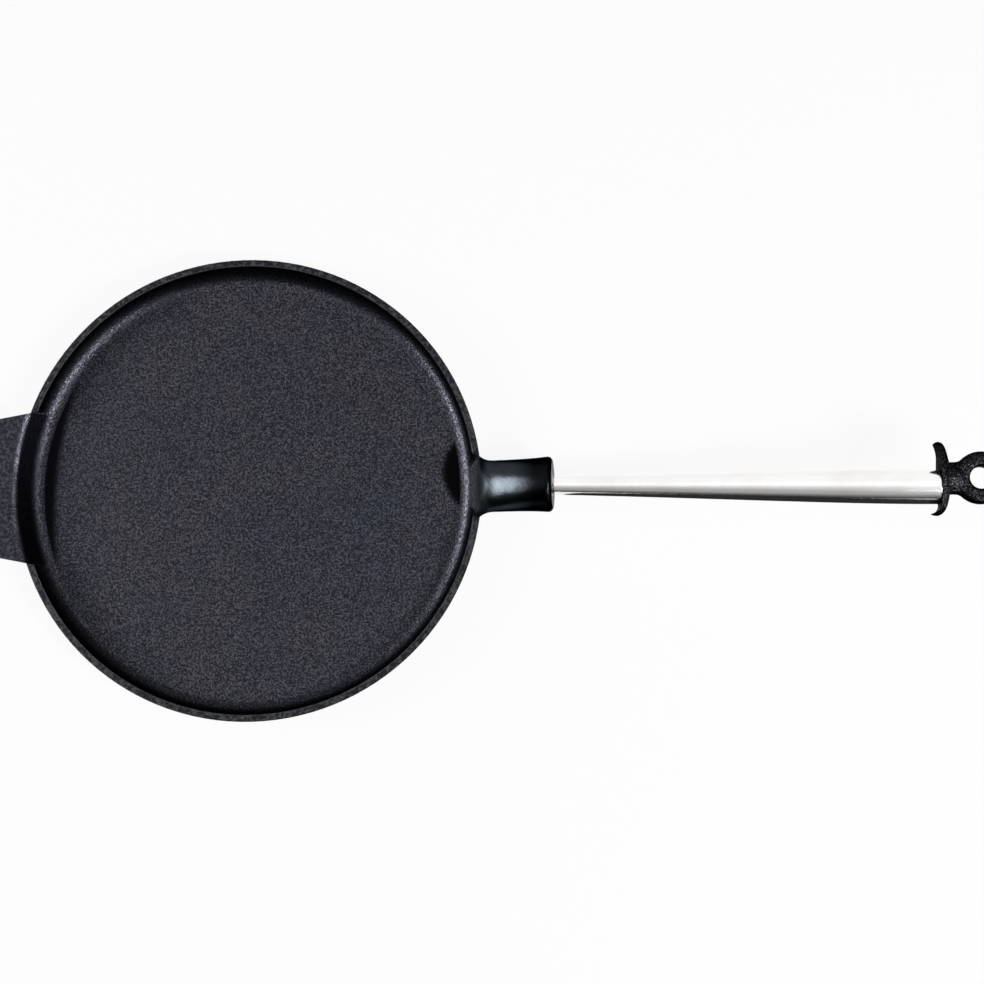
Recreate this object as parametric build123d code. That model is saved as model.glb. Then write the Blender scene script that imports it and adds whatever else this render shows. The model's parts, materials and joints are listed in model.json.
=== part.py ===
from build123d import *
import math
import os

os.makedirs("parts", exist_ok=True)

# Cast-iron pancake pan with a bolted steel handle. Millimetres and degrees.
# The origin is the centre of the flat base, +X runs along the handle and +Z is up.

# Plate and rim of the casting
rim_radius = 115.0  # outside of the rim, at its top
rim_height = 15.0  # flat top of the rim above the base
land_width = 3.5  # flat on top of the rim
floor_thickness = 5.0
wall_draft = 8.0  # inner wall, off the vertical
corner_radius = 8.5  # inner fillet between floor and wall
skirt_draft = 12.0  # outer wall, off the vertical
base_edge_radius = 4.0
land_edge_radius = 0.6

# Lips that roll over from the inner wall to the boss and to the tab
boss_roll_slope = 48.0  # steepest part of the rolled wall
boss_roll_radius = 6.0
tab_roll_slope = 50.0
tab_roll_radius = 5.0

# Helper tab, opposite the handle
tab_reach = 21.0  # beyond the rim
tab_half_width = 36.0  # where its sides meet the rim
tab_taper = 11.0  # each side draws in towards the end
tab_rise = 1.0  # its top above the rim's flat
tab_thickness = 7.0
tab_corner_radius = 12.0
tab_edge_radius = 1.6
tab_root_radius = 5.0

# Socket boss
boss_length = 35.0  # from the rim to its end face, seen from above
boss_end_radius = 14.0
boss_waist = 12.95  # half its width at the narrowest
boss_root_spread = 1.6  # it is this much wider where it leaves the rim
boss_root_run = 5.25  # and back to the waist this far out
boss_root_cover = 0.9  # top of the root over the line of the climb, before the lip is cut
boss_aside = 0.75  # its middle lies this far to +Y of the socket: the casting isn't even
boss_ground_gap = 4.0  # under the end of the boss
boss_ground_share = 0.25  # share of that gap under the rim
boss_top_aim = 3.3  # the climb of its top points this far above the end face
boss_top_clear = 0.2  # the top runs this far under that line, then eases down to the end face
boss_lip_drop = 0.6  # corner of the boss lip under the rim's flat
boss_edge_radius = 2.4
boss_zone_half_width = 16.0  # the rim's flat stops this far each side
boss_zone_lean = 45.0  # and slopes down there to the lip
boss_steps = 10  # sections along the boss
boss_inner_steps = 2  # and more of them inside the rim, as far apart
handle_rise = 8.0  # handle axis above the horizontal

# Tie rod and its threads
rod_radius = 3.0
rod_pitch = 1.0
rod_fit = 0.05  # radial clearance in both threads
rod_hold = 16.0  # thread length in the boss
rod_end_gap = 0.5
rod_point = 0.8  # chamfer on both ends

# Steel tube
tube_length = 185.5  # from the boss face to the guard
tube_small_radius = 4.35
tube_large_radius = 8.2
tube_wall = 0.9
tube_swell = 1.33  # how far its sides bow out of a straight taper, towards the wide end
tube_seat_depth = 4.0  # sunk into the boss
tube_seat_fit = 0.25
tube_lean_gap = 0.25  # left between the leaning tube and the rod
tube_lip_radius = 0.4
tube_stations = 6  # lengths that the taper is drawn through
seat_bevel = 1.3  # machined bevel round the tube's seat

# End eye: guard bar, neck and hanging ring
guard_thickness = 3.6
guard_half_span = 17.4
guard_sweep_left = 2.2  # the wing on +Y leans this far towards the pan at its tip
guard_sweep_right = 4.2  # and the wing on -Y this far: the casting isn't even
guard_cover = 0.8  # its oval reaches this far above and below the tube
guard_seat_margin = 0.4  # flat of the seat beyond the leaning tube
guard_seat_relief = 3.1  # less flat under the other wing, which passes the tube half a turn out
guard_outer_half_width = 7.6  # flat of the guard's outer face
guard_bow = 0.25  # share of the sweep reached halfway out along a wing
guard_tip_inset = 0.5  # inner corner of a tip, in from the full span
guard_tip_depth = 0.1  # a tip is widest this far outside the seat
guard_shoulder_inset = 3.8  # outer corner of a wing, in from the full span
guard_shoulder_drop = 1.2  # and back from the outer face
guard_oval_margin = 0.6  # the oval seen along the handle reaches past the tips
guard_draft = 32.0  # its rim draws in over the outer half of its thickness
neck_half_width = 7.7
neck_half_height = 6.4  # against the guard
neck_start = 2.0  # inside the guard
neck_shoulder = 6.0  # up to here it keeps most of its height
neck_shoulder_share = 0.9
neck_end = 11.1  # from here it is as flat as the ring
eye_reach = 19.2  # guard seat to the centre of the ring
eye_radius = 12.6
eye_bore_radius = 5.35
eye_thickness = 8.4
eye_edge_radius = 3.0
eye_bore_edge_radius = 2.0
eye_blend_radius = 5.0
eye_thread_depth = 9.0
pick_tolerance = 0.01  # for finding the bore's edges by their radius

# Sizes that follow from those above
land_radius = rim_radius - land_width
depth = rim_height - floor_thickness
foot_radius = land_radius - depth * math.tan(math.radians(wall_draft))
foot_turn = 90.0 - wall_draft
floor_radius = foot_radius - corner_radius * math.tan(math.radians(foot_turn / 2))
skirt_foot = rim_radius - rim_height * math.tan(math.radians(skirt_draft))
tab_top = rim_height + tab_rise
tab_bottom = tab_top - tab_thickness
clear_above = rim_height + 3 * boss_end_radius  # tools that cut from above reach this high
boss_end_x = rim_radius + boss_length
boss_end_z = boss_ground_gap + boss_end_radius
axis_x = math.cos(math.radians(handle_rise))
axis_z = math.sin(math.radians(handle_rise))
end_top_x = boss_end_x - boss_end_radius * axis_z
end_top_z = boss_end_z + boss_end_radius * axis_x
rod_in_boss = tube_seat_depth + rod_hold
rod_travel = rod_hold - rod_pitch  # the eye still holds by one turn
tube_lean = tube_large_radius - tube_wall - rod_radius - tube_lean_gap
tube_seat_radius = tube_small_radius + tube_seat_fit
guard_seat_right = tube_large_radius + tube_lean + guard_seat_margin
guard_seat_left = guard_seat_right - guard_seat_relief
guard_half_height = tube_large_radius + guard_cover

# Handle frame: origin at the centre of the boss's end face, local X along the handle
handle = Plane(origin=(boss_end_x, 0, boss_end_z), x_dir=(axis_x, 0, axis_z), z_dir=(-axis_z, 0, axis_x))


def turned(points, radii):
    """Solid of revolution about Z from a closed outline in radius and height."""
    wire = FilletPolyline(*[(r, 0, z) for r, z in points], radius=radii, close=True)
    return revolve(make_face(wire), Axis.Z)


def plate():
    """Plain disc with the drafted skirt and the rim's full height, not hollowed yet."""
    points = [(0, 0), (skirt_foot, 0), (rim_radius, rim_height), (0, rim_height)]
    return turned(points, [0, base_edge_radius, land_edge_radius, 0])


def cavity():
    """Cooking recess: flat floor, round corner and drafted wall, open upward."""
    top_radius = foot_radius + (clear_above - floor_thickness) * math.tan(math.radians(wall_draft))
    points = [
        (0, floor_thickness),
        (foot_radius, floor_thickness),
        (top_radius, clear_above),
        (0, clear_above),
    ]
    return turned(points, [0, corner_radius, 0, 0])


def roll_corner(corner_height, roll_slope):
    """Radius at which a wall that climbs from the recess at a slope reaches a height."""
    slope = math.radians(roll_slope)
    foot = floor_radius + corner_radius * math.tan(slope / 2)
    return foot + (corner_height - floor_thickness) / math.tan(slope)


def lip_cutter(corner_height, roll_slope, roll_radius, top_slope):
    """Space above a wall that rises from the recess and rolls over to a slope outside it."""
    foot = roll_corner(floor_thickness, roll_slope)
    corner = roll_corner(corner_height, roll_slope)
    outer = boss_end_x + boss_length
    outer_height = corner_height + (outer - corner) * math.tan(top_slope)
    top = max(clear_above, outer_height + roll_radius)
    points = [
        (floor_radius - corner_radius, floor_thickness),
        (foot, floor_thickness),
        (corner, corner_height),
        (outer, outer_height),
        (outer, top),
        (floor_radius - corner_radius, top),
    ]
    return turned(points, [0, corner_radius, roll_radius, 0, 0, 0])


def tab_half(x):
    """Half the tab's width at a place along X, which is negative on the tab."""
    return tab_half_width + (x + rim_radius) * math.tan(math.radians(tab_taper))


def tab_outline(inner_x, outer_x):
    """Trapezoid in plan, between two places along X."""
    corners = [
        (inner_x, tab_half(inner_x)),
        (outer_x, tab_half(outer_x)),
        (outer_x, -tab_half(outer_x)),
        (inner_x, -tab_half(inner_x)),
    ]
    return make_face(Polyline(*corners, close=True))


def tab():
    """Tongue with a bowed, round-cornered end, and its web into the skirt below the rim's flat."""
    end_x = -rim_radius - tab_reach
    root_x = -floor_radius
    plan = tab_outline(root_x, end_x) & Circle(-end_x)
    ends = plan.vertices().sort_by(Axis.X)[:2]
    plan = fillet(ends, tab_corner_radius)
    tongue = Pos(0, 0, tab_bottom) * extrude(plan, tab_thickness)
    edges = tongue.edges().filter_by(Plane.XY).filter_by(lambda e: e.center().X < -rim_radius)
    tongue = fillet(edges, tab_edge_radius)
    inset = (tab_top - tab_bottom) * math.tan(math.radians(skirt_draft))
    web_plan = plan + Circle(rim_radius - inset)
    corners = web_plan.vertices().filter_by(lambda v: -rim_radius < v.X < root_x)
    web_plan = fillet(corners, tab_root_radius)
    web_top = tab_top - 2 * tab_edge_radius
    web_bottom = tab_bottom + tab_edge_radius
    return tongue + Pos(0, 0, web_bottom) * extrude(web_plan, web_top - web_bottom)


def boss_climb():
    """Corner of the boss lip in radius and height, and the slope of the top from there."""
    height = rim_height - boss_lip_drop
    corner = roll_corner(height, boss_roll_slope)
    rise = boss_end_z + boss_end_radius + boss_top_aim - height
    return corner, height, math.atan2(rise, boss_end_x - corner)


def boss_top(x):
    """Height of the line along which the boss's top climbs from the lip."""
    corner, height, slope = boss_climb()
    return height + (x - corner) * math.tan(slope)


def boss_station(share):
    """Section at a share of the way from the rim to the end face, leaning over as the face does."""
    outward = max(share, 0.0)
    lean = math.radians(handle_rise * outward)
    flare = max(0.0, 1 - share * boss_length / boss_root_run) ** 2
    half_width = boss_waist + (boss_end_radius - boss_waist) * outward**4 + boss_root_spread * flare
    x = rim_radius + share * boss_length
    drop = boss_top_clear + (boss_top(end_top_x) - boss_top_clear - end_top_z) * outward**4
    top = boss_top(x + outward * (end_top_x - boss_end_x)) - drop + boss_root_cover * flare
    bottom = boss_ground_gap * (boss_ground_share + (1 - boss_ground_share) * outward**2)
    origin = (x, boss_aside, (top + bottom) / 2)
    spot = Plane(origin, x_dir=(0, 1, 0), z_dir=(math.cos(lean), 0, math.sin(lean)))
    return spot * Ellipse(half_width, (top - bottom) / 2)


def boss():
    """Horn that swells from inside the rim to the round end face of the socket."""
    sections = [boss_station(step / boss_steps) for step in range(-boss_inner_steps, boss_steps)]
    end_plane = Plane(handle.origin, x_dir=(0, 1, 0), z_dir=handle.x_dir)
    end_face = end_plane * Pos(boss_aside, 0) * Circle(boss_end_radius)
    horn = loft(sections + [end_face])
    rim_edge = horn.edges().sort_by(lambda e: (e.center() - handle.origin).length)[0]
    return fillet(rim_edge, boss_edge_radius)


def boss_zone():
    """Space over the root of the boss, its sides leaning out as they rise past the rim's flat."""
    low, high = floor_thickness, 4 * clear_above
    lean = math.tan(math.radians(boss_zone_lean))
    low_half = boss_zone_half_width - (rim_height - low) * lean
    high_half = boss_zone_half_width + (high - rim_height) * lean
    corners = [(-low_half, low), (low_half, low), (high_half, high), (-high_half, high)]
    start = Plane(origin=(boss_end_x / 2, boss_aside, 0), x_dir=(0, 1, 0), z_dir=(1, 0, 0))
    return start * extrude(make_face(Polyline(*corners, close=True)), boss_end_x)


def across(x, y=0.0):
    """Plane square to local X, for sections along the handle."""
    return Plane(origin=(x, y, 0), x_dir=(0, 1, 0), z_dir=(1, 0, 0))


def along(start, length, radius):
    """Round bar on the handle axis, in the handle frame."""
    return extrude(across(start) * Circle(radius), length)


def socket():
    """Hole in the boss: bevelled seat for the tube, then the thread for the tie rod."""
    seat = along(-tube_seat_depth, 2 * tube_seat_depth, tube_seat_radius)
    mouth = across(0) * Circle(tube_seat_radius + seat_bevel)
    bevel = loft([across(-seat_bevel) * Circle(tube_seat_radius), mouth])
    thread = along(-rod_in_boss - rod_end_gap, rod_hold + 2 * rod_end_gap, rod_radius + rod_fit)
    return handle * (seat + bevel + thread)


def pan_casting():
    """Plate, rim, tab and boss in one pour, with the recess and the socket cut into it."""
    body = plate() + tab() + boss()
    body -= cavity()
    tab_zone = extrude(tab_outline(-rim_radius / 2, -2 * rim_radius), 4 * clear_above)
    body -= lip_cutter(tab_top, tab_roll_slope, tab_roll_radius, 0.0) & tab_zone
    climb = boss_climb()
    body -= lip_cutter(climb[1], boss_roll_slope, boss_roll_radius, climb[2]) & boss_zone()
    return body - socket()


def tube_radius(share):
    """Outer radius: an even taper that eases off towards the wide end."""
    growth = share + tube_swell * share**3 * (1 - share)
    return tube_small_radius + (tube_large_radius - tube_small_radius) * growth


def tube_skin(inset):
    """Tapered round body in the handle frame, leaning aside along its length."""
    whole = tube_length + tube_seat_depth
    sections = []
    for step in range(tube_stations + 1):
        share = step / tube_stations
        spot = across(share * whole - tube_seat_depth, -tube_lean * share)
        sections.append(spot * Circle(tube_radius(share) - inset))
    return loft(sections)


def handle_tube():
    """Hollow tapered tube with square ends."""
    skin = tube_skin(0.0)
    rim = skin.edges().sort_by(Axis.X)[-1]
    skin = fillet(rim, tube_lip_radius)
    return handle * (skin - tube_skin(tube_wall))


def tie_rod():
    """Round steel rod, pointed at both ends, from the boss to the end eye."""
    start = -rod_in_boss
    end = tube_length + eye_thread_depth
    bar = along(start, end - start, rod_radius)
    return handle * chamfer(bar.edges().filter_by(GeomType.CIRCLE), rod_point)


def wing(side, sweep, seat_edge):
    """Half of the guard in plan, from the handle axis out to a tip that leans towards the pan."""
    tip = (-sweep, side * (guard_half_span - guard_tip_inset))
    far_side = (guard_tip_depth, side * guard_half_span)
    shoulder = (guard_thickness - guard_shoulder_drop, side * (guard_half_span - guard_shoulder_inset))
    top_seat = (0, side * seat_edge)
    top_outer = (guard_thickness, side * guard_outer_half_width)
    inner_mid = (-guard_bow * sweep, side * (seat_edge + guard_half_span) / 2)
    outline = [
        Line((0, 0), top_seat),
        ThreePointArc(top_seat, inner_mid, tip),
        Spline(tip, far_side, shoulder, top_outer),
        Line(top_outer, (guard_thickness, 0)),
        Line((guard_thickness, 0), (0, 0)),
    ]
    return make_face(Wire(outline))


def guard():
    """Bar across the tube's end, its wings swept towards the pan and drawn in to thin tips."""
    plan = wing(1, guard_sweep_left, guard_seat_left) + wing(-1, guard_sweep_right, guard_seat_right)
    bar = Pos(0, 0, -guard_half_height) * extrude(plan, 2 * guard_half_height)
    oval = Ellipse(guard_half_span + guard_oval_margin, guard_half_height)
    back = -2 * guard_sweep_right
    crown = guard_thickness / 2
    shield = extrude(across(back) * oval, crown - back)
    shield += extrude(across(crown) * oval, guard_thickness, taper=guard_draft)
    return bar & shield


def neck():
    """Oval stem that flattens from the guard into the ring."""
    flat = eye_thickness / 2
    shoulder_height = flat + neck_shoulder_share * (neck_half_height - flat)
    stations = [(neck_start, neck_half_height), (neck_shoulder, shoulder_height), (neck_end, flat)]
    return loft([across(x) * Ellipse(neck_half_width, height) for x, height in stations])


def ring():
    """Flat ring with rounded edges, blended into a stem that runs back to the guard."""
    stem_length = eye_reach - neck_start
    stem = Pos(neck_start + stem_length / 2, 0) * Rectangle(stem_length, 2 * neck_half_width)
    plan = stem + Pos(eye_reach, 0) * Circle(eye_radius)
    hollows = plan.vertices().filter_by(lambda v: guard_thickness < v.X < eye_reach)
    plan = fillet(hollows, eye_blend_radius)
    solid = Pos(0, 0, -eye_thickness / 2) * extrude(plan, eye_thickness)
    rims = solid.edges().filter_by(Plane.XY).filter_by(lambda e: e.center().X > guard_thickness)
    solid = fillet(rims, eye_edge_radius)
    centre = Pos(eye_reach, 0, -eye_thickness)
    solid -= centre * extrude(Circle(eye_bore_radius), 2 * eye_thickness)
    holes = solid.edges().filter_by(GeomType.CIRCLE).filter_by(Plane.XY)
    holes = holes.filter_by(lambda e: abs(e.radius - eye_bore_radius) < pick_tolerance)
    return fillet(holes, eye_bore_edge_radius)


def end_eye():
    """Second casting: guard, neck and ring, threaded on the tie rod."""
    body = guard() + neck() + ring()
    thread_end = eye_thread_depth + rod_end_gap
    body -= along(-guard_thickness, guard_thickness + thread_end, rod_radius + rod_fit)
    return handle * Pos(tube_length, 0, 0) * body


nodes = {
    "pan_casting": pan_casting,
    "handle_tube": handle_tube,
    "tie_rod": tie_rod,
    "end_eye": end_eye,
}

for name, build in nodes.items():
    piece = build()
    export_step(piece, f"parts/{name}.step")
    box = piece.bounding_box()
    print(name, "volume", round(piece.volume), "from", box.min, "to", box.max)
print("handle axis", round(axis_x, 6), round(axis_z, 6))
print("handle origin", boss_end_x, boss_end_z)
print("rod travel", rod_travel)
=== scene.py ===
import json
import math

import bmesh
import bpy
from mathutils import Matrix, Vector

# Pancake pan: one iron casting, a polished steel tube and a rough iron end eye.
# Metres. X runs along the handle, Z is up and the origin is the centre of the flat base.

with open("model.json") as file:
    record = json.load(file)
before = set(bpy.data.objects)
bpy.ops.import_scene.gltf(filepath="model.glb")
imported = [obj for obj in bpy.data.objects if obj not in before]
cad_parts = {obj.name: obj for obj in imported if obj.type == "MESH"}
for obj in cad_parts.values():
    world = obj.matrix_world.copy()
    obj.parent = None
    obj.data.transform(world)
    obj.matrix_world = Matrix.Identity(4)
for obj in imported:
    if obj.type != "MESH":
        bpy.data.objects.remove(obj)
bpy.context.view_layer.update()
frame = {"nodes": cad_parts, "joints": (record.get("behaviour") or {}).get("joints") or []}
nodes = frame["nodes"]
eyeTurn = next(joint for joint in frame["joints"] if joint["name"] == "eye_turn")
handleOrigin = Vector(eyeTurn["pos_m"])
handleAxis = Vector(eyeTurn["axis"]).normalized()
handleRise = math.atan2(handleAxis.z, handleAxis.x)


# Node helpers

def addNode(tree, kind, inputs=None, **settings):
    node = tree.nodes.new(kind)
    for name, value in settings.items():
        setattr(node, name, value)
    for name, value in (inputs or {}).items():
        node.inputs[name].default_value = value
    return node


def feed(tree, source, target):
    if isinstance(source, (int, float)):
        target.default_value = source
    else:
        tree.links.new(source, target)


def mathNode(tree, operation, first, second=None, clamp=False):
    node = addNode(tree, "ShaderNodeMath", operation=operation, use_clamp=clamp)
    for socket, value in zip(node.inputs, (first, second)):
        if value is not None:
            feed(tree, value, socket)
    return node.outputs[0]


def product(tree, first, *others):
    for value in others:
        first = mathNode(tree, "MULTIPLY", first, value)
    return first


def inverse(tree, value):
    return mathNode(tree, "SUBTRACT", 1.0, value)


def ramp(tree, value, span, levels=(0.0, 1.0), smooth=False):
    node = addNode(tree, "ShaderNodeMapRange", clamp=True)
    node.interpolation_type = "SMOOTHSTEP" if smooth else "LINEAR"
    feed(tree, value, node.inputs["Value"])
    for name, number in zip(("From Min", "From Max", "To Min", "To Max"), (*span, *levels)):
        node.inputs[name].default_value = number
    return node.outputs["Result"]


def blendColor(tree, factor, first, second):
    node = addNode(tree, "ShaderNodeMix", data_type="RGBA")
    feed(tree, factor, node.inputs[0])
    for socket, value in ((node.inputs[6], first), (node.inputs[7], second)):
        if isinstance(value, tuple):
            socket.default_value = (*value, 1.0)
        else:
            feed(tree, value, socket)
    return node.outputs[2]


def blendValue(tree, factor, first, second):
    node = addNode(tree, "ShaderNodeMix", data_type="FLOAT")
    for socket, value in zip((node.inputs[0], node.inputs[2], node.inputs[3]), (factor, first, second)):
        feed(tree, value, socket)
    return node.outputs[0]


def splitAxes(tree, vector):
    node = addNode(tree, "ShaderNodeSeparateXYZ")
    feed(tree, vector, node.inputs[0])
    return [node.outputs[axis] for axis in "XYZ"]


def radiusOf(tree, first, second):
    squares = [mathNode(tree, "MULTIPLY", value, value) for value in (first, second)]
    return mathNode(tree, "SQRT", mathNode(tree, "ADD", *squares))


def newGroup(name, inputs, outputs):
    tree = bpy.data.node_groups.new(name, "ShaderNodeTree")
    for label, kind, value in inputs:
        socket = tree.interface.new_socket(label, in_out="INPUT", socket_type=kind)
        if value is not None:
            socket.default_value = value
    for label in outputs:
        tree.interface.new_socket(label, in_out="OUTPUT", socket_type="NodeSocketFloat")
    return tree, tree.nodes.new("NodeGroupInput"), tree.nodes.new("NodeGroupOutput")


def placeGroup(tree, group, vector, **values):
    node = addNode(tree, "ShaderNodeGroup", node_tree=group)
    feed(tree, vector, node.inputs["Vector"])
    for name, value in values.items():
        node.inputs[name].default_value = value
    return node


def newMaterial(name):
    material = bpy.data.materials.new(name)
    material.use_nodes = True
    tree = material.node_tree
    shader = tree.nodes["Principled BSDF"]
    place = addNode(tree, "ShaderNodeTexCoord").outputs["Object"]
    return material, tree, shader, place


def bumpOnto(tree, shader, height, strength, distance):
    bump = addNode(tree, "ShaderNodeBump", inputs={"Strength": strength, "Distance": distance})
    feed(tree, height, bump.inputs["Height"])
    feed(tree, bump.outputs["Normal"], shader.inputs["Normal"])
    return bump


# Sand grain of a casting: packed grains, fine pits and slow swells

grainLook = {
    "detail": 3.0,
    "roughness": 0.6,
    "smoothness": 0.4,
    "grainShare": 0.55,
    "speckle": (0.44, 0.66),
    "swellScale": 24.0,
    "swellDetail": 4.0,
    "swellRoughness": 0.65,
    "patch": (0.35, 0.68),
}


def makeCastGrain(look):
    tree, start, end = newGroup(
        "castGrain",
        [("Vector", "NodeSocketVector", None), ("Grain Scale", "NodeSocketFloat", 900.0)],
        ["Height", "Speckle", "Patch"],
    )
    fine = addNode(
        tree,
        "ShaderNodeTexNoise",
        inputs={"Detail": look["detail"], "Roughness": look["roughness"]},
    )
    grains = addNode(
        tree,
        "ShaderNodeTexVoronoi",
        feature="SMOOTH_F1",
        inputs={"Smoothness": look["smoothness"]},
    )
    swell = addNode(
        tree,
        "ShaderNodeTexNoise",
        inputs={
            "Scale": look["swellScale"],
            "Detail": look["swellDetail"],
            "Roughness": look["swellRoughness"],
        },
    )
    for node in (fine, grains, swell):
        feed(tree, start.outputs["Vector"], node.inputs["Vector"])
    for node in (fine, grains):
        feed(tree, start.outputs["Grain Scale"], node.inputs["Scale"])
    rounded = inverse(tree, grains.outputs["Distance"])
    height = mathNode(tree, "ADD", product(tree, rounded, look["grainShare"]), fine.outputs["Fac"])
    feed(tree, height, end.inputs["Height"])
    feed(tree, ramp(tree, fine.outputs["Fac"], look["speckle"]), end.inputs["Speckle"])
    feed(tree, ramp(tree, swell.outputs["Fac"], look["patch"], smooth=True), end.inputs["Patch"])
    return tree


# Fine lines that polishing leaves along a tube or bar, and the slow cloudiness between them

drawLook = {
    "stretch": (0.012, 1.0, 1.0),
    "detail": 2.0,
    "roughness": 0.5,
    "cloudScale": 60.0,
    "cloudDetail": 3.0,
    "cloud": (0.35, 0.7),
    "lines": (0.3, 0.7),
    "bumpStrength": 0.3,
}


def makeDrawLines(look):
    tree, start, end = newGroup(
        "drawLines",
        [("Vector", "NodeSocketVector", None), ("Line Scale", "NodeSocketFloat", 2500.0)],
        ["Lines", "Cloud"],
    )
    stretch = addNode(tree, "ShaderNodeMapping", inputs={"Scale": look["stretch"]})
    lines = addNode(
        tree,
        "ShaderNodeTexNoise",
        inputs={"Detail": look["detail"], "Roughness": look["roughness"]},
    )
    cloud = addNode(
        tree,
        "ShaderNodeTexNoise",
        inputs={"Scale": look["cloudScale"], "Detail": look["cloudDetail"]},
    )
    feed(tree, start.outputs["Vector"], stretch.inputs["Vector"])
    feed(tree, stretch.outputs["Vector"], lines.inputs["Vector"])
    feed(tree, start.outputs["Line Scale"], lines.inputs["Scale"])
    feed(tree, start.outputs["Vector"], cloud.inputs["Vector"])
    feed(tree, lines.outputs["Fac"], end.inputs["Lines"])
    feed(tree, cloud.outputs["Fac"], end.inputs["Cloud"])
    return tree


castGrain = makeCastGrain(grainLook)
drawLines = makeDrawLines(drawLook)


# Object coordinates turned so that X runs along the handle axis, from the boss's end face
def alongHandle(tree, place):
    node = addNode(tree, "ShaderNodeMapping", vector_type="TEXTURE")
    node.inputs["Location"].default_value = handleOrigin
    node.inputs["Rotation"].default_value = (0.0, -handleRise, 0.0)
    feed(tree, place, node.inputs["Vector"])
    return node.outputs["Vector"]


# Pan casting: dark seasoned iron, with a grainy cooking face, rim and tab and a bright machined seat, and
# painted shade and highlights beside the lips, the tab and the boss

panLook = {
    # colours
    "skinDark": (0.0070, 0.0077, 0.0105),  # walls and lips, as metal
    "skinLight": (0.037, 0.037, 0.043),
    "root": (0.0040, 0.0050, 0.0056),  # painted shade: darker, rough skin where the boss leaves the lip
    "grip": (0.0265, 0.031, 0.0355),  # rest of the boss
    "noseShade": (0.0048, 0.0056, 0.0065),  # painted shade: darker round the end of the boss
    "valleyShade": (0.0036, 0.0036, 0.0053),  # painted shade on the smooth dip between the rim and the tab's crest
    # painted highlight: lighter speckled skin on the tab's crest
    "crestHighlightDark": (0.012, 0.013, 0.017),
    "crestHighlightLight": (0.056, 0.056, 0.065),
    "faceDark": (0.0035, 0.0035, 0.0055),
    "faceLight": (0.088, 0.085, 0.099),
    "blueDark": (0.003, 0.0038, 0.007),
    "blueLight": (0.070, 0.075, 0.100),
    "landLight": (0.062, 0.062, 0.062),
    "tabLight": (0.052, 0.056, 0.078),
    # painted highlight along the inner edge of the rim's flat
    "edgeHighlight": (0.040, 0.043, 0.046),
    "seatSteel": (0.55, 0.55, 0.54),
    "edgeTint": (0.22, 0.235, 0.27),
    # places: radii, heights, and spans over which one finish gives way to the next
    "floorRadii": (0.1075, 0.1035),
    "floorHeights": (0.0074, 0.0066),
    "landRadius": 0.1116,
    "landHeights": (0.0146, 0.0148),
    "landSoftness": 0.0002,
    "landFade": (0.0165, 0.0225),  # the rim's coarse flat fades out here beside the boss
    "landEnd": (0.113, 0.112),
    "tabCrest": 0.1183,  # the tab's coarse top starts outside its lip
    "tabSides": (0.0372, 0.0375),
    "tabSoftness": 0.0030,
    "valleyRadii": (0.1065, 0.1085),
    "crestRadii": (0.1137, 0.1152),
    "edgeHighlightWidths": (0.0005, 0.0002),
    "edgeHighlightSpeckle": (0.0, 0.6),
    "edgeHighlightLevels": (0.45, 1.0),
    "rootSpan": (0.109, 0.114),
    "gripSpan": (0.1148, 0.1190),
    "noseSpan": (0.1300, 0.1400),
    "creaseMiddle": 0.1175,
    "creaseReach": (0.0085, 0.0055),
    "creaseRadius": 0.0032,
    "creaseSamples": 6,
    "seatRadii": (0.0060, 0.0058),
    "seatDepths": (-0.006, -0.005),
    # surface
    "skinRough": (0.34, 0.26),
    "coarseRough": (0.55, 0.68),
    "rootRough": 0.50,
    "gripRough": (0.18, 0.22),
    "specular": 0.3,
    "grainScale": 1150.0,
    "landGrainScale": 560.0,
    "bumpStrength": 0.55,
    "bumpDepth": 0.00016,
    "skinDepth": 1.6,
    "gripDepth": 0.30,
}
# Painted shade: a darker, smoother crescent on the floor in front of each lip. Its place along Y, half
# its length, the radius that its inner edge reaches and the radius of its outer edge
paintedLipShades = {
    "boss": {
        "side": 1.0,
        "middle": 0.0075,
        "halfLength": 0.0200,
        "inner": 0.0925,
        "outer": 0.1052,
        "shade": (0.0019, 0.0019, 0.0024),
    },
    "tab": {
        "side": -1.0,
        "middle": 0.008,
        "halfLength": 0.060,
        "inner": 0.0940,
        "outer": 0.1042,
        "shade": (0.0028, 0.0028, 0.0040),
    },
}
lipSoftness = 0.0065  # inner edge of both crescents
lipBorder = 0.0012  # and their outer edge


# Mask of the painted shade in front of one lip
def paintedLipMask(tree, x, y, fromCentre, lip):
    share = mathNode(tree, "DIVIDE", mathNode(tree, "SUBTRACT", y, lip["middle"]), lip["halfLength"])
    bend = product(tree, share, share, lip["outer"] - lip["inner"])
    depth = mathNode(tree, "SUBTRACT", mathNode(tree, "SUBTRACT", fromCentre, lip["inner"]), bend)
    outside = ramp(tree, depth, (lipSoftness, 0.0), smooth=True)
    within = inverse(tree, product(tree, outside, outside))
    beforeWall = ramp(tree, fromCentre, (lip["outer"], lip["outer"] - lipBorder))
    rightSide = mathNode(tree, "GREATER_THAN", product(tree, x, lip["side"]), 0.0)
    return product(tree, within, beforeWall, rightSide)


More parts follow.
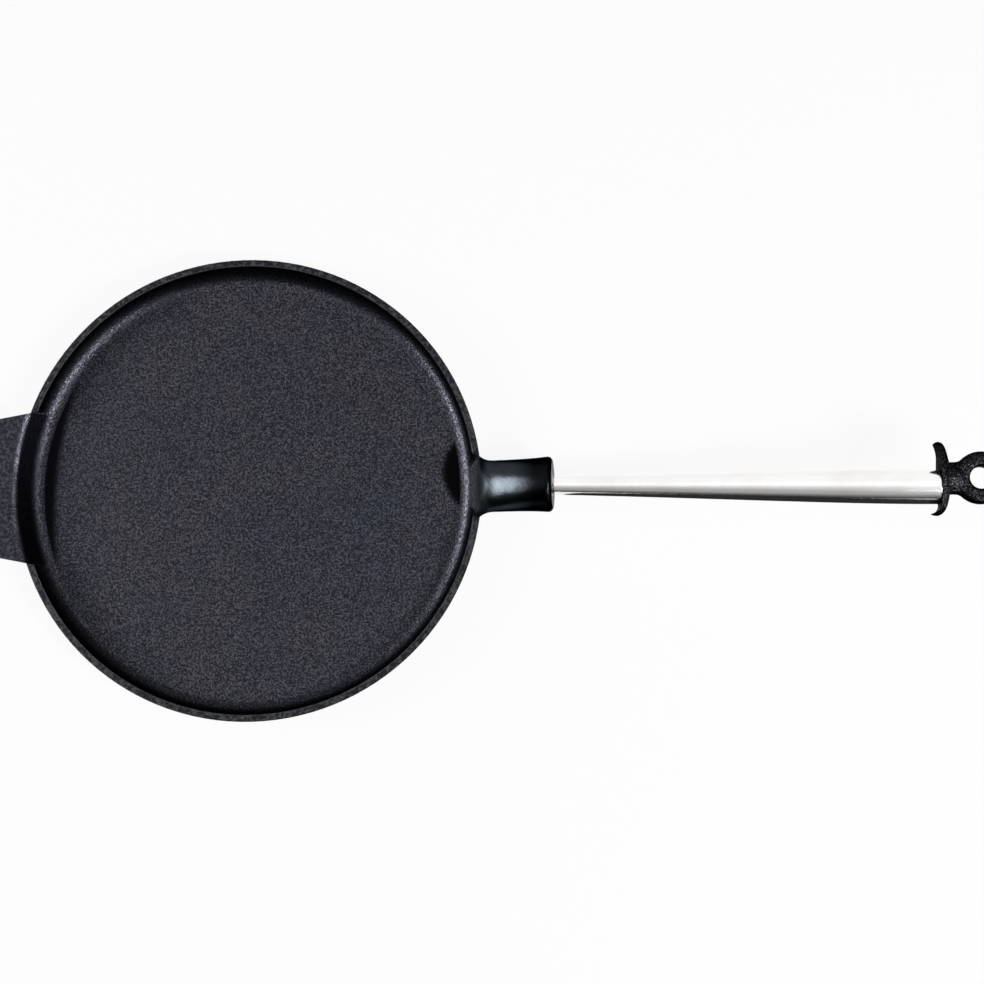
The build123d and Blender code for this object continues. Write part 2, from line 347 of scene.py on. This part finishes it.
# Coarse flats of rim and tab: where they are, how far past their inner edge, and what is clear of the tab
def panLand(tree, look, x, y, z, fromCentre):
    sideways = mathNode(tree, "ABSOLUTE", y)
    rightHalf = mathNode(tree, "GREATER_THAN", x, 0.0)
    leftHalf = mathNode(tree, "LESS_THAN", x, 0.0)
    clearOfTab = mathNode(tree, "MAXIMUM", ramp(tree, sideways, look["tabSides"]), rightHalf)
    landStart = ramp(tree, clearOfTab, (0.0, 1.0), (look["tabCrest"], look["landRadius"]))
    softness = ramp(tree, clearOfTab, (0.0, 1.0), (look["tabSoftness"], look["landSoftness"]))
    pastStart = mathNode(tree, "SUBTRACT", fromCentre, landStart)
    reached = mathNode(tree, "ADD", mathNode(tree, "DIVIDE", pastStart, softness), 1.0, clamp=True)
    awayFromBoss = mathNode(tree, "MAXIMUM", ramp(tree, sideways, look["landFade"]), leftHalf)
    highUp = ramp(tree, z, look["landHeights"])
    onLand = product(tree, reached, highUp, ramp(tree, x, look["landEnd"]), awayFromBoss)
    return onLand, pastStart, clearOfTab


def makeCastIron(look):
    material, tree, shader, place = newMaterial("seasonedIron")
    grain = placeGroup(tree, castGrain, place, **{"Grain Scale": look["grainScale"]})
    landGrain = placeGroup(tree, castGrain, place, **{"Grain Scale": look["landGrainScale"]})
    speckle, landSpeckle = grain.outputs["Speckle"], landGrain.outputs["Speckle"]
    patch = grain.outputs["Patch"]
    x, y, z = splitAxes(tree, place)
    fromCentre = radiusOf(tree, x, y)

    # Where the surface is coarse: the cooking face up into its corner, the rim's flat and the tab's top
    insideFloor = ramp(tree, fromCentre, look["floorRadii"], smooth=True)
    cookingFace = product(tree, insideFloor, ramp(tree, z, look["floorHeights"]))
    onLand, pastStart, clearOfTab = panLand(tree, look, x, y, z, fromCentre)
    # Crescents of painted shade in front of the boss's and the tab's lips
    crescents = [paintedLipMask(tree, x, y, fromCentre, lip) for lip in paintedLipShades.values()]
    openFace = product(tree, cookingFace, inverse(tree, mathNode(tree, "MAXIMUM", *crescents)))
    coarse = mathNode(tree, "MAXIMUM", openFace, onLand)

    # Coarse colour: dark and light grains that drift between neutral and blue
    neutral = blendColor(tree, speckle, look["faceDark"], look["faceLight"])
    blue = blendColor(tree, speckle, look["blueDark"], look["blueLight"])
    topLight = blendColor(tree, clearOfTab, look["tabLight"], look["landLight"])
    rimTop = blendColor(tree, landSpeckle, look["faceDark"], topLight)
    face = blendColor(tree, onLand, blendColor(tree, patch, neutral, blue), rimTop)

    # Skin colour elsewhere: walls and boss, with painted shade at the boss's root and end, in the tab's
    # dip and in the crescents, and a painted highlight on the tab's crest
    onBoss = ramp(tree, x, look["rootSpan"], smooth=True)
    beyondRoot = ramp(tree, x, look["gripSpan"], smooth=True)
    skin = blendColor(tree, speckle, look["skinDark"], look["skinLight"])
    # Painted shade at the root of the boss
    skin = blendColor(tree, onBoss, skin, look["root"])
    skin = blendColor(tree, beyondRoot, skin, look["grip"])
    # Painted shade round the end of the boss
    skin = blendColor(tree, ramp(tree, x, look["noseSpan"]), skin, look["noseShade"])
    # Painted highlight on the tab's crest, painted shade in the dip inside it
    crest = blendColor(tree, speckle, look["crestHighlightDark"], look["crestHighlightLight"])
    tabShadeAndHighlight = blendColor(tree, ramp(tree, fromCentre, look["crestRadii"]), look["valleyShade"], crest)
    onTabShadeAndHighlight = product(tree, ramp(tree, fromCentre, look["valleyRadii"]), inverse(tree, clearOfTab))
    skin = blendColor(tree, onTabShadeAndHighlight, skin, tabShadeAndHighlight)
    # Painted shade in the crescents
    for crescent, lip in zip(crescents, paintedLipShades.values()):
        skin = blendColor(tree, crescent, skin, lip["shade"])
    shade = blendColor(tree, coarse, skin, face)

    # Painted highlight along the inner edge of the rim's flat, and the machined seat of the tube
    edgeHighlightMask = product(tree, ramp(tree, pastStart, look["edgeHighlightWidths"]), onLand, clearOfTab)
    edgeHighlightMask = product(tree, edgeHighlightMask, ramp(tree, landSpeckle, look["edgeHighlightSpeckle"], look["edgeHighlightLevels"]))
    shade = blendColor(tree, edgeHighlightMask, shade, look["edgeHighlight"])
    along, across, above = splitAxes(tree, alongHandle(tree, place))
    seat = product(
        tree,
        ramp(tree, radiusOf(tree, across, above), look["seatRadii"]),
        ramp(tree, along, look["seatDepths"]),
    )
    feed(tree, blendColor(tree, seat, shade, look["seatSteel"]), shader.inputs["Base Color"])
    feed(tree, inverse(tree, coarse), shader.inputs["Metallic"])
    shader.inputs["Specular IOR Level"].default_value = look["specular"]
    shader.inputs["Specular Tint"].default_value = (*look["edgeTint"], 1.0)

    # Smoothest on the boss past its dull root, then on walls and lips, then on the coarse places
    skinRough = ramp(tree, speckle, (0.0, 1.0), look["skinRough"])
    gripRough = ramp(tree, patch, (0.0, 1.0), look["gripRough"])
    bossRough = blendValue(tree, beyondRoot, look["rootRough"], gripRough)
    coarseRough = ramp(tree, speckle, (0.0, 1.0), look["coarseRough"])
    smoothRough = blendValue(tree, onBoss, skinRough, bossRough)
    feed(tree, blendValue(tree, coarse, smoothRough, coarseRough), shader.inputs["Roughness"])
    depth = ramp(tree, coarse, (0.0, 1.0), (look["skinDepth"], 1.0))
    grainHeight = product(tree, grain.outputs["Height"], depth)
    bothGrains = mathNode(tree, "ADD", landGrain.outputs["Height"], grain.outputs["Height"])
    height = blendValue(tree, onBoss, grainHeight, product(tree, bothGrains, look["gripDepth"]))
    bump = bumpOnto(tree, shader, height, look["bumpStrength"], look["bumpDepth"])

    # The crease between the lip and the root of the boss is dressed smooth
    fromCrease = mathNode(tree, "ABSOLUTE", mathNode(tree, "SUBTRACT", x, look["creaseMiddle"]))
    crease = addNode(tree, "ShaderNodeBevel", samples=look["creaseSamples"])
    nearCrease = ramp(tree, fromCrease, look["creaseReach"])
    feed(tree, product(tree, nearCrease, look["creaseRadius"]), crease.inputs["Radius"])
    feed(tree, crease.outputs["Normal"], bump.inputs["Normal"])
    return material


# End eye: coarse sand-cast iron, hardly dressed

eyeLook = {
    "shadeDark": (0.0028, 0.0028, 0.0034),
    "shadeLight": (0.024, 0.023, 0.026),
    "edgeTint": (0.05, 0.05, 0.06),
    "rough": (0.34, 0.17),
    "grainScale": 1050.0,
    "bumpStrength": 1.0,
    "bumpDepth": 0.00034,
}


def makeRoughIron(look):
    material, tree, shader, place = newMaterial("roughIron")
    grain = placeGroup(tree, castGrain, place, **{"Grain Scale": look["grainScale"]})
    speckle = grain.outputs["Speckle"]
    shade = blendColor(tree, speckle, look["shadeDark"], look["shadeLight"])
    feed(tree, shade, shader.inputs["Base Color"])
    feed(tree, ramp(tree, speckle, (0.0, 1.0), look["rough"]), shader.inputs["Roughness"])
    shader.inputs["Metallic"].default_value = 1.0
    shader.inputs["Specular Tint"].default_value = (*look["edgeTint"], 1.0)
    bumpOnto(tree, shader, grain.outputs["Height"], look["bumpStrength"], look["bumpDepth"])
    return material


# Handle tube and tie rod: polished stainless and plain drawn steel

tubeLook = {
    "name": "polishedSteel",
    "shade": (0.96, 0.955, 0.95),
    "shadeDull": (0.90, 0.885, 0.875),
    "lineScale": 2600.0,
    "polish": (0.10, 0.17),
    "roughEnd": 0.17,  # worn duller near the guard
    "endSpan": (0.150, 0.180),  # distances from the boss's end face
    "lineDepth": 0.000002,
}
rodLook = {
    "name": "drawnSteel",
    "shade": (0.50, 0.50, 0.51),
    "shadeDull": (0.36, 0.355, 0.35),
    "lineScale": 1800.0,
    "polish": (0.24, 0.40),
    "roughEnd": 0.32,
    "endSpan": (0.150, 0.180),
    "lineDepth": 0.00001,
}


def makeSteel(look):
    material, tree, shader, place = newMaterial(look["name"])
    handlePlace = alongHandle(tree, place)
    lines = placeGroup(tree, drawLines, handlePlace, **{"Line Scale": look["lineScale"]})
    along = splitAxes(tree, handlePlace)[0]
    cloud = ramp(tree, lines.outputs["Cloud"], drawLook["cloud"])
    feed(tree, blendColor(tree, cloud, look["shade"], look["shadeDull"]), shader.inputs["Base Color"])
    polish = ramp(tree, lines.outputs["Lines"], drawLook["lines"], look["polish"])
    atEnd = ramp(tree, along, look["endSpan"], smooth=True)
    dull = mathNode(tree, "MAXIMUM", polish, look["roughEnd"])
    feed(tree, blendValue(tree, atEnd, polish, dull), shader.inputs["Roughness"])
    shader.inputs["Metallic"].default_value = 1.0
    bumpOnto(tree, shader, lines.outputs["Lines"], drawLook["bumpStrength"], look["lineDepth"])
    return material


finishes = {
    "pan_casting": makeCastIron(panLook),
    "end_eye": makeRoughIron(eyeLook),
    "handle_tube": makeSteel(tubeLook),
    "tie_rod": makeSteel(rodLook),
}
for name, material in finishes.items():
    nodes[name].material_slots[0].material = material
print("finishes on", len(finishes), "castings and bars")


# Studio: white table, pale room, two soft boxes and a graded tent that steel mirrors

tableLook = {
    "size": 6.0,
    "height": -0.0002,
    "color": (0.78, 0.78, 0.78),
    "rough": 0.9,
    "glow": 0.92,
}
# Levels as metal mirrors them, but for the fill. Spans are along a direction's X, Y and Z
roomLook = {
    "seen": 1.0,
    "fill": 0.1,
    "endLevel": 0.03,  # behind both ends of the pan, near the horizon
    "endX": (0.75, 0.93),
    "endZ": (0.36, 0.18),
    "cornerLevel": 0.25,  # the far right corner
    "cornerX": (0.20, 0.45),
    "cornerY": (0.0, 0.12),
    "cornerZ": (0.82, 0.62),
}
# Width and height of each soft box, and of the larger bright card that only polished surfaces mirror
softBoxes = {
    "keyRight": {
        "toward": (0.662, -0.337, 0.669),
        "distance": 1.35,
        "size": (0.36, 0.36),
        "radiance": 34.0,
        "cardToward": (0.660, -0.300, 0.695),
        "cardSize": (0.7, 0.44),
        "cardLevel": 24.0,
    },
    "keyLeft": {
        "toward": (-0.898, 0.02, 0.440),
        "distance": 1.4,
        "size": (0.5, 0.5),
        "radiance": 20.0,
        "cardToward": (-0.898, 0.03, 0.440),
        "cardSize": (1.0, 0.36),
        "cardLevel": 29.0,
    },
}
cardNearness = 0.9  # share of the soft box's distance
# Levels by angle from straight above towards the front
tent = {
    "radius": 1.3,
    "left": -3.0,
    "right": 0.9,
    "steps": 36,
    "leftShade": 0.1,  # darker low down, left of what the tube mirrors
    "shadeAngles": (15, 35),
    "shadeX": (-0.25, -0.6),
    "grades": (
        (-30, 1.07),
        (-6, 1.07),
        (10, 0.7),
        (25, 0.5),
        (38, 0.37),
        (54, 0.36),
        (70, 0.16),
        (86, 0.022),
        (100, 0.022),
    ),
}
# Black cloth on the table in front of the handle, seen only in metal
lowCloth = {
    "corners": ((0.156, -0.008), (0.40, -0.014), (0.40, -1.3), (0.156, -1.3)),
    "height": 0.0005,
    "level": 0.022,
}


# 1 for what the camera sees, straight or in metal and glass, and 0 for soft light
def glowSwitch(tree):
    path = addNode(tree, "ShaderNodeLightPath")
    seen = mathNode(tree, "MAXIMUM", path.outputs["Is Camera Ray"], path.outputs["Is Glossy Ray"])
    return mathNode(tree, "MAXIMUM", seen, path.outputs["Is Transmission Ray"])


def intoScene(name, data):
    thing = bpy.data.objects.new(name, data)
    bpy.context.scene.collection.objects.link(thing)
    return thing


def meshObject(name, shape, material):
    mesh = bpy.data.meshes.new(name)
    shape.to_mesh(mesh)
    shape.free()
    mesh.materials.append(material)
    return intoScene(name, mesh)


def planeObject(name, size, material, centre=(0, 0, 0), facing=(0, 0, 1)):
    shape = bmesh.new()
    bmesh.ops.create_grid(shape, x_segments=1, y_segments=1, size=0.5)
    bmesh.ops.scale(shape, vec=(*size, 1.0), verts=shape.verts)
    turn = Vector(facing).to_track_quat("Z", "Y").to_matrix()
    bmesh.ops.rotate(shape, matrix=turn, verts=shape.verts)
    bmesh.ops.translate(shape, vec=centre, verts=shape.verts)
    return meshObject(name, shape, material)


def buildTable(look):
    material = bpy.data.materials.new("paleTable")
    material.use_nodes = True
    tree = material.node_tree
    matt = tree.nodes["Principled BSDF"]
    matt.inputs["Base Color"].default_value = (*look["color"], 1.0)
    matt.inputs["Roughness"].default_value = look["rough"]
    matt.inputs["Specular IOR Level"].default_value = 0.0
    glow = addNode(tree, "ShaderNodeEmission", inputs={"Strength": 1.0})
    mixer = addNode(tree, "ShaderNodeMixShader")
    feed(tree, product(tree, glowSwitch(tree), look["glow"]), mixer.inputs[0])
    feed(tree, matt.outputs[0], mixer.inputs[1])
    feed(tree, glow.outputs[0], mixer.inputs[2])
    feed(tree, mixer.outputs[0], tree.nodes["Material Output"].inputs["Surface"])
    planeObject("table", (look["size"], look["size"]), material, (0, 0, look["height"]))


def buildRoom(look):
    world = bpy.data.worlds.new("paleRoom")
    bpy.context.scene.world = world
    world.use_nodes = True
    tree = world.node_tree
    background = tree.nodes["Background"]
    background.inputs["Color"].default_value = (1.0, 1.0, 1.0, 1.0)
    x, y, z = splitAxes(tree, addNode(tree, "ShaderNodeTexCoord").outputs["Generated"])
    inMetal = addNode(tree, "ShaderNodeLightPath").outputs["Is Glossy Ray"]
    endwise = ramp(tree, mathNode(tree, "ABSOLUTE", x), look["endX"], smooth=True)
    atEnds = product(tree, endwise, ramp(tree, z, look["endZ"], smooth=True), inMetal)
    farRight = product(tree, ramp(tree, x, look["cornerX"], smooth=True), ramp(tree, y, look["cornerY"]))
    inCorner = product(tree, farRight, ramp(tree, z, look["cornerZ"], smooth=True), inMetal)
    seen = ramp(tree, inCorner, (0.0, 1.0), (look["seen"], look["cornerLevel"]))
    seen = blendValue(tree, atEnds, seen, look["endLevel"])
    light = blendValue(tree, glowSwitch(tree), look["fill"], seen)
    feed(tree, light, background.inputs["Strength"])


def glowMaterial(name):
    material = bpy.data.materials.new(name)
    material.use_nodes = True
    tree = material.node_tree
    tree.nodes.remove(tree.nodes["Principled BSDF"])
    glow = addNode(tree, "ShaderNodeEmission")
    feed(tree, glow.outputs[0], tree.nodes["Material Output"].inputs["Surface"])
    return material, tree, glow


# Stage cloth that only polished metal mirrors: no camera, shadow or soft light sees it
def onlyInMetal(thing):
    thing.visible_camera = False
    thing.visible_shadow = False
    thing.visible_diffuse = False


def tentMaterial(first, last):
    material, tree, glow = glowMaterial("gradedCloth")
    x, y, z = splitAxes(tree, addNode(tree, "ShaderNodeTexCoord").outputs["Object"])
    angle = mathNode(tree, "ARCTAN2", product(tree, y, -1.0), z)
    grading = addNode(tree, "ShaderNodeValToRGB")
    stops = grading.color_ramp.elements
    while len(stops) < len(tent["grades"]):
        stops.new(0.5)
    for stop, (degrees, level) in zip(stops, tent["grades"]):
        stop.position = (degrees - first) / (last - first)
        stop.color = (level, level, level, 1.0)
    feed(tree, ramp(tree, angle, (math.radians(first), math.radians(last))), grading.inputs[0])
    feed(tree, grading.outputs["Color"], glow.inputs["Color"])
    lowFront = ramp(tree, angle, [math.radians(degrees) for degrees in tent["shadeAngles"]], smooth=True)
    shaded = product(tree, lowFront, ramp(tree, x, tent["shadeX"], smooth=True))
    feed(tree, ramp(tree, shaded, (0.0, 1.0), (1.0, tent["leftShade"])), glow.inputs["Strength"])
    return material


def buildTent():
    first, last = tent["grades"][0][0], tent["grades"][-1][0]
    start = math.radians(first)
    shape = bmesh.new()
    ends = [
        shape.verts.new((x, -tent["radius"] * math.sin(start), tent["radius"] * math.cos(start)))
        for x in (tent["left"], tent["right"])
    ]
    shape.edges.new(ends)
    bmesh.ops.spin(
        shape,
        geom=shape.verts[:] + shape.edges[:],
        cent=(0, 0, 0),
        axis=(1, 0, 0),
        angle=math.radians(last - first),
        steps=tent["steps"],
        use_duplicate=False,
    )
    onlyInMetal(meshObject("tent", shape, tentMaterial(first, last)))


def buildLowCloth(look):
    material, tree, glow = glowMaterial("blackCloth")
    glow.inputs["Color"].default_value = (*[look["level"]] * 3, 1.0)
    shape = bmesh.new()
    for x, y in look["corners"]:
        shape.verts.new((x, y, look["height"]))
    bmesh.ops.contextual_create(shape, geom=shape.verts[:])
    onlyInMetal(meshObject("lowCloth", shape, material))


def buildSoftBoxes():
    for name, box in softBoxes.items():
        width, height = box["size"]
        lamp = bpy.data.lights.new(name, "AREA")
        lamp.shape = "RECTANGLE"
        lamp.size = width
        lamp.size_y = height
        lamp.energy = box["radiance"] * math.pi * width * height
        holder = intoScene(name, lamp)
        away = Vector(box["toward"]).normalized()
        holder.location = away * box["distance"]
        holder.rotation_euler = away.to_track_quat("Z", "Y").to_euler()
        material, tree, glow = glowMaterial(name + "Glow")
        glow.inputs["Strength"].default_value = box["cardLevel"]
        away = Vector(box["cardToward"]).normalized()
        spot = away * box["distance"] * cardNearness
        onlyInMetal(planeObject(name + "Card", box["cardSize"], material, spot, away))


# Camera, fitted to the rim's outline and to the handle's line

cameraFit = {
    "location": (0.10575, -0.08091, 0.75002),
    "rotation": (0.105969, -0.018805, -0.004755),
    "lens": 54.61,
    "sensor": 36.0,
}


def buildCamera(fit):
    lens = bpy.data.cameras.new("photoCamera")
    lens.lens = fit["lens"]
    lens.sensor_width = fit["sensor"]
    camera = intoScene("photoCamera", lens)
    camera.location = fit["location"]
    camera.rotation_euler = fit["rotation"]
    bpy.context.scene.camera = camera


buildTable(tableLook)
buildRoom(roomLook)
buildTent()
buildLowCloth(lowCloth)
buildSoftBoxes()
buildCamera(cameraFit)
bpy.context.scene.view_settings.view_transform = "Standard"
print("studio ready")
